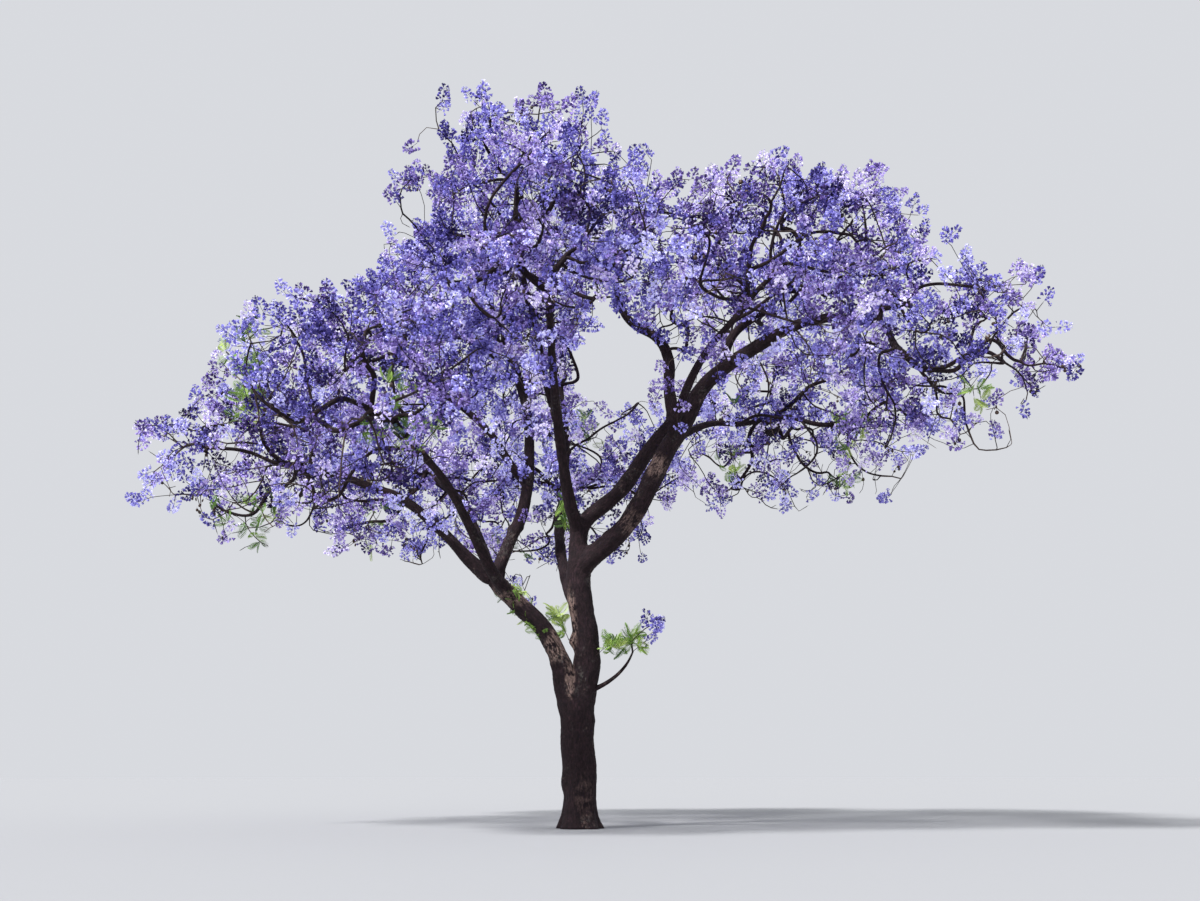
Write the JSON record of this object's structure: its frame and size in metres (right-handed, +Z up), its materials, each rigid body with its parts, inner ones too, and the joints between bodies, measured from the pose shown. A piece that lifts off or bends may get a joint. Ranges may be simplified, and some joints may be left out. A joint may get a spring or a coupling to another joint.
{
  "type": "jacaranda tree",
  "caption": "Broad street tree in full violet blossom: a short leaning trunk forks low into sinuous boughs that carry an umbrella crown of separate blossom masses.",
  "frame": {"origin": "centre of the flat cut at ground level under the trunk", "axes": "+Z up, +X towards the side where the outer stem reaches furthest, +Y away from the side that the picture is taken from"},
  "size_m": [15.8482, 12.6674, 11.9646],
  "materials": {
    "trunk_bark": "dark brown, furrowed, matt bark with greyer worn patches",
    "bough_bark": "dark brown, finely cracked, matt bark with tan and grey patches",
    "blossom": "soft matt violet-blue petals in loose clusters",
    "new_leaves": "fresh yellow-green ferny leaves, slightly satin"
  },
  "bodies": {
    "root": {"trunk": "trunk_bark", "left_bough": "bough_bark", "right_bough": "bough_bark", "outer_stem_low": "bough_bark", "outer_stem_high": "bough_bark", "inner_stem_low": "bough_bark", "inner_stem_high": "bough_bark", "outer_arm": "bough_bark", "outer_front_arm": "bough_bark", "inner_back_arm": "bough_bark", "back_limb": "bough_bark", "back_arm": "bough_bark", "front_limb": "bough_bark", "front_arm": "bough_bark", "left_stem_up": "bough_bark", "left_arm": "bough_bark", "left_stem_out": "bough_bark", "left_stem_front": "bough_bark", "left_stem_back": "bough_bark", "side_shoot": "bough_bark", "right_rim_mass": "blossom", "right_top_mass": "blossom", "front_right_mass": "blossom", "back_right_mass": "blossom", "back_mass": "blossom", "back_top_mass": "blossom", "front_mass": "blossom", "front_top_mass": "blossom", "top_mass": "blossom", "left_top_mass": "blossom", "left_rim_mass": "blossom", "front_left_mass": "blossom", "back_left_mass": "blossom", "low_tuft": "new_leaves", "left_shoulder_mass": "blossom"}
  },
  "joints": []
}
